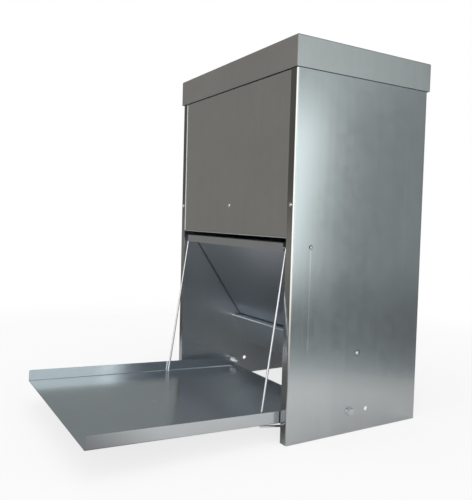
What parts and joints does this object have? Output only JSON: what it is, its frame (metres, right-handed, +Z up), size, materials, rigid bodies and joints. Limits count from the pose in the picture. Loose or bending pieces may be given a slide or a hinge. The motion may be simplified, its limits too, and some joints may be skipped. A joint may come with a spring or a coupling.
{
  "type": "treadle poultry feeder",
  "caption": "Floor-standing sheet-metal poultry feeder: lift-off lid, hopper, trough and a feed flap pulled open by a hinged front treadle through two wire rods.",
  "frame": {"origin": "on the floor, on the centre plane, at mid-thickness of the back panel's bottom edge", "axes": "+Z up; +X to the right seen from the front; the front and the treadle face -Y"},
  "size_m": [0.3504, 0.5091, 0.54],
  "materials": {
    "body_sheet": "galvanised sheet, semi-gloss with faint vertical rolling streaks",
    "inner_sheet": "galvanised sheet inside the body, semi-gloss",
    "lid_sheet": "galvanised sheet, semi-gloss",
    "treadle_sheet": "galvanised sheet, lightly scuffed by birds' feet",
    "flap_sheet": "galvanised sheet, semi-gloss",
    "rivet": "bright dome-head blind rivets",
    "zinc_fastener": "bright zinc-plated steel",
    "steel_wire": "bright zinc-plated wire",
    "bar_steel": "mill-finish flat bar"
  },
  "bodies": {
    "feeder_body": {"right_side_wall": "body_sheet", "left_side_wall": "body_sheet", "front_panel": "body_sheet", "back_panel": "body_sheet", "hopper_chute": "inner_sheet", "feed_trough": "inner_sheet", "front_rivets": "rivet", "back_rivets": "rivet", "trough_rivets": "rivet", "treadle_bolts": "zinc_fastener", "treadle_spacers": "zinc_fastener", "treadle_washers": "zinc_fastener", "treadle_lock_nuts": "zinc_fastener", "flap_axle": "steel_wire", "axle_clips": "zinc_fastener"},
    "lid": {"lid_cap": "lid_sheet"},
    "treadle": {"treadle_plate": "treadle_sheet"},
    "flap": {"feed_flap": "flap_sheet", "flap_weight_bar": "bar_steel"},
    "right_rod": {"right_pull_rod": "steel_wire", "right_rod_clip": "zinc_fastener"},
    "left_rod": {"left_pull_rod": "steel_wire", "left_rod_clip": "zinc_fastener"}
  },
  "joints": [
    {"name": "treadle_press", "type": "hinge", "parent": "feeder_body", "child": "treadle", "pos_m": [0, -0.1323, 0.031], "axis": [1, 0, 0], "range_deg": [0, 5.79]},
    {"name": "flap_open", "type": "hinge", "parent": "feeder_body", "child": "flap", "pos_m": [0, -0.2108, 0.265], "axis": [1, 0, 0], "range_deg": [0, 34.75]},
    {"name": "right_rod_swing", "type": "hinge", "parent": "flap", "child": "right_rod", "pos_m": [0.149, -0.2362, 0.2635], "axis": [1, 0, 0], "range_deg": [-35.56, 0]},
    {"name": "left_rod_swing", "type": "hinge", "parent": "flap", "child": "left_rod", "pos_m": [-0.149, -0.2362, 0.2635], "axis": [1, 0, 0], "range_deg": [-35.56, 0]},
    {"name": "lid_lift", "type": "slide", "parent": "feeder_body", "child": "lid", "axis": [0, 0, 1], "range_m": [0, 0.12]}
  ],
  "couplings": [
    {"joint": "flap_open", "follows": "treadle_press", "ratio": 5.95},
    {"joint": "right_rod_swing", "follows": "treadle_press", "ratio": -6.09},
    {"joint": "left_rod_swing", "follows": "treadle_press", "ratio": -6.09}
  ]
}
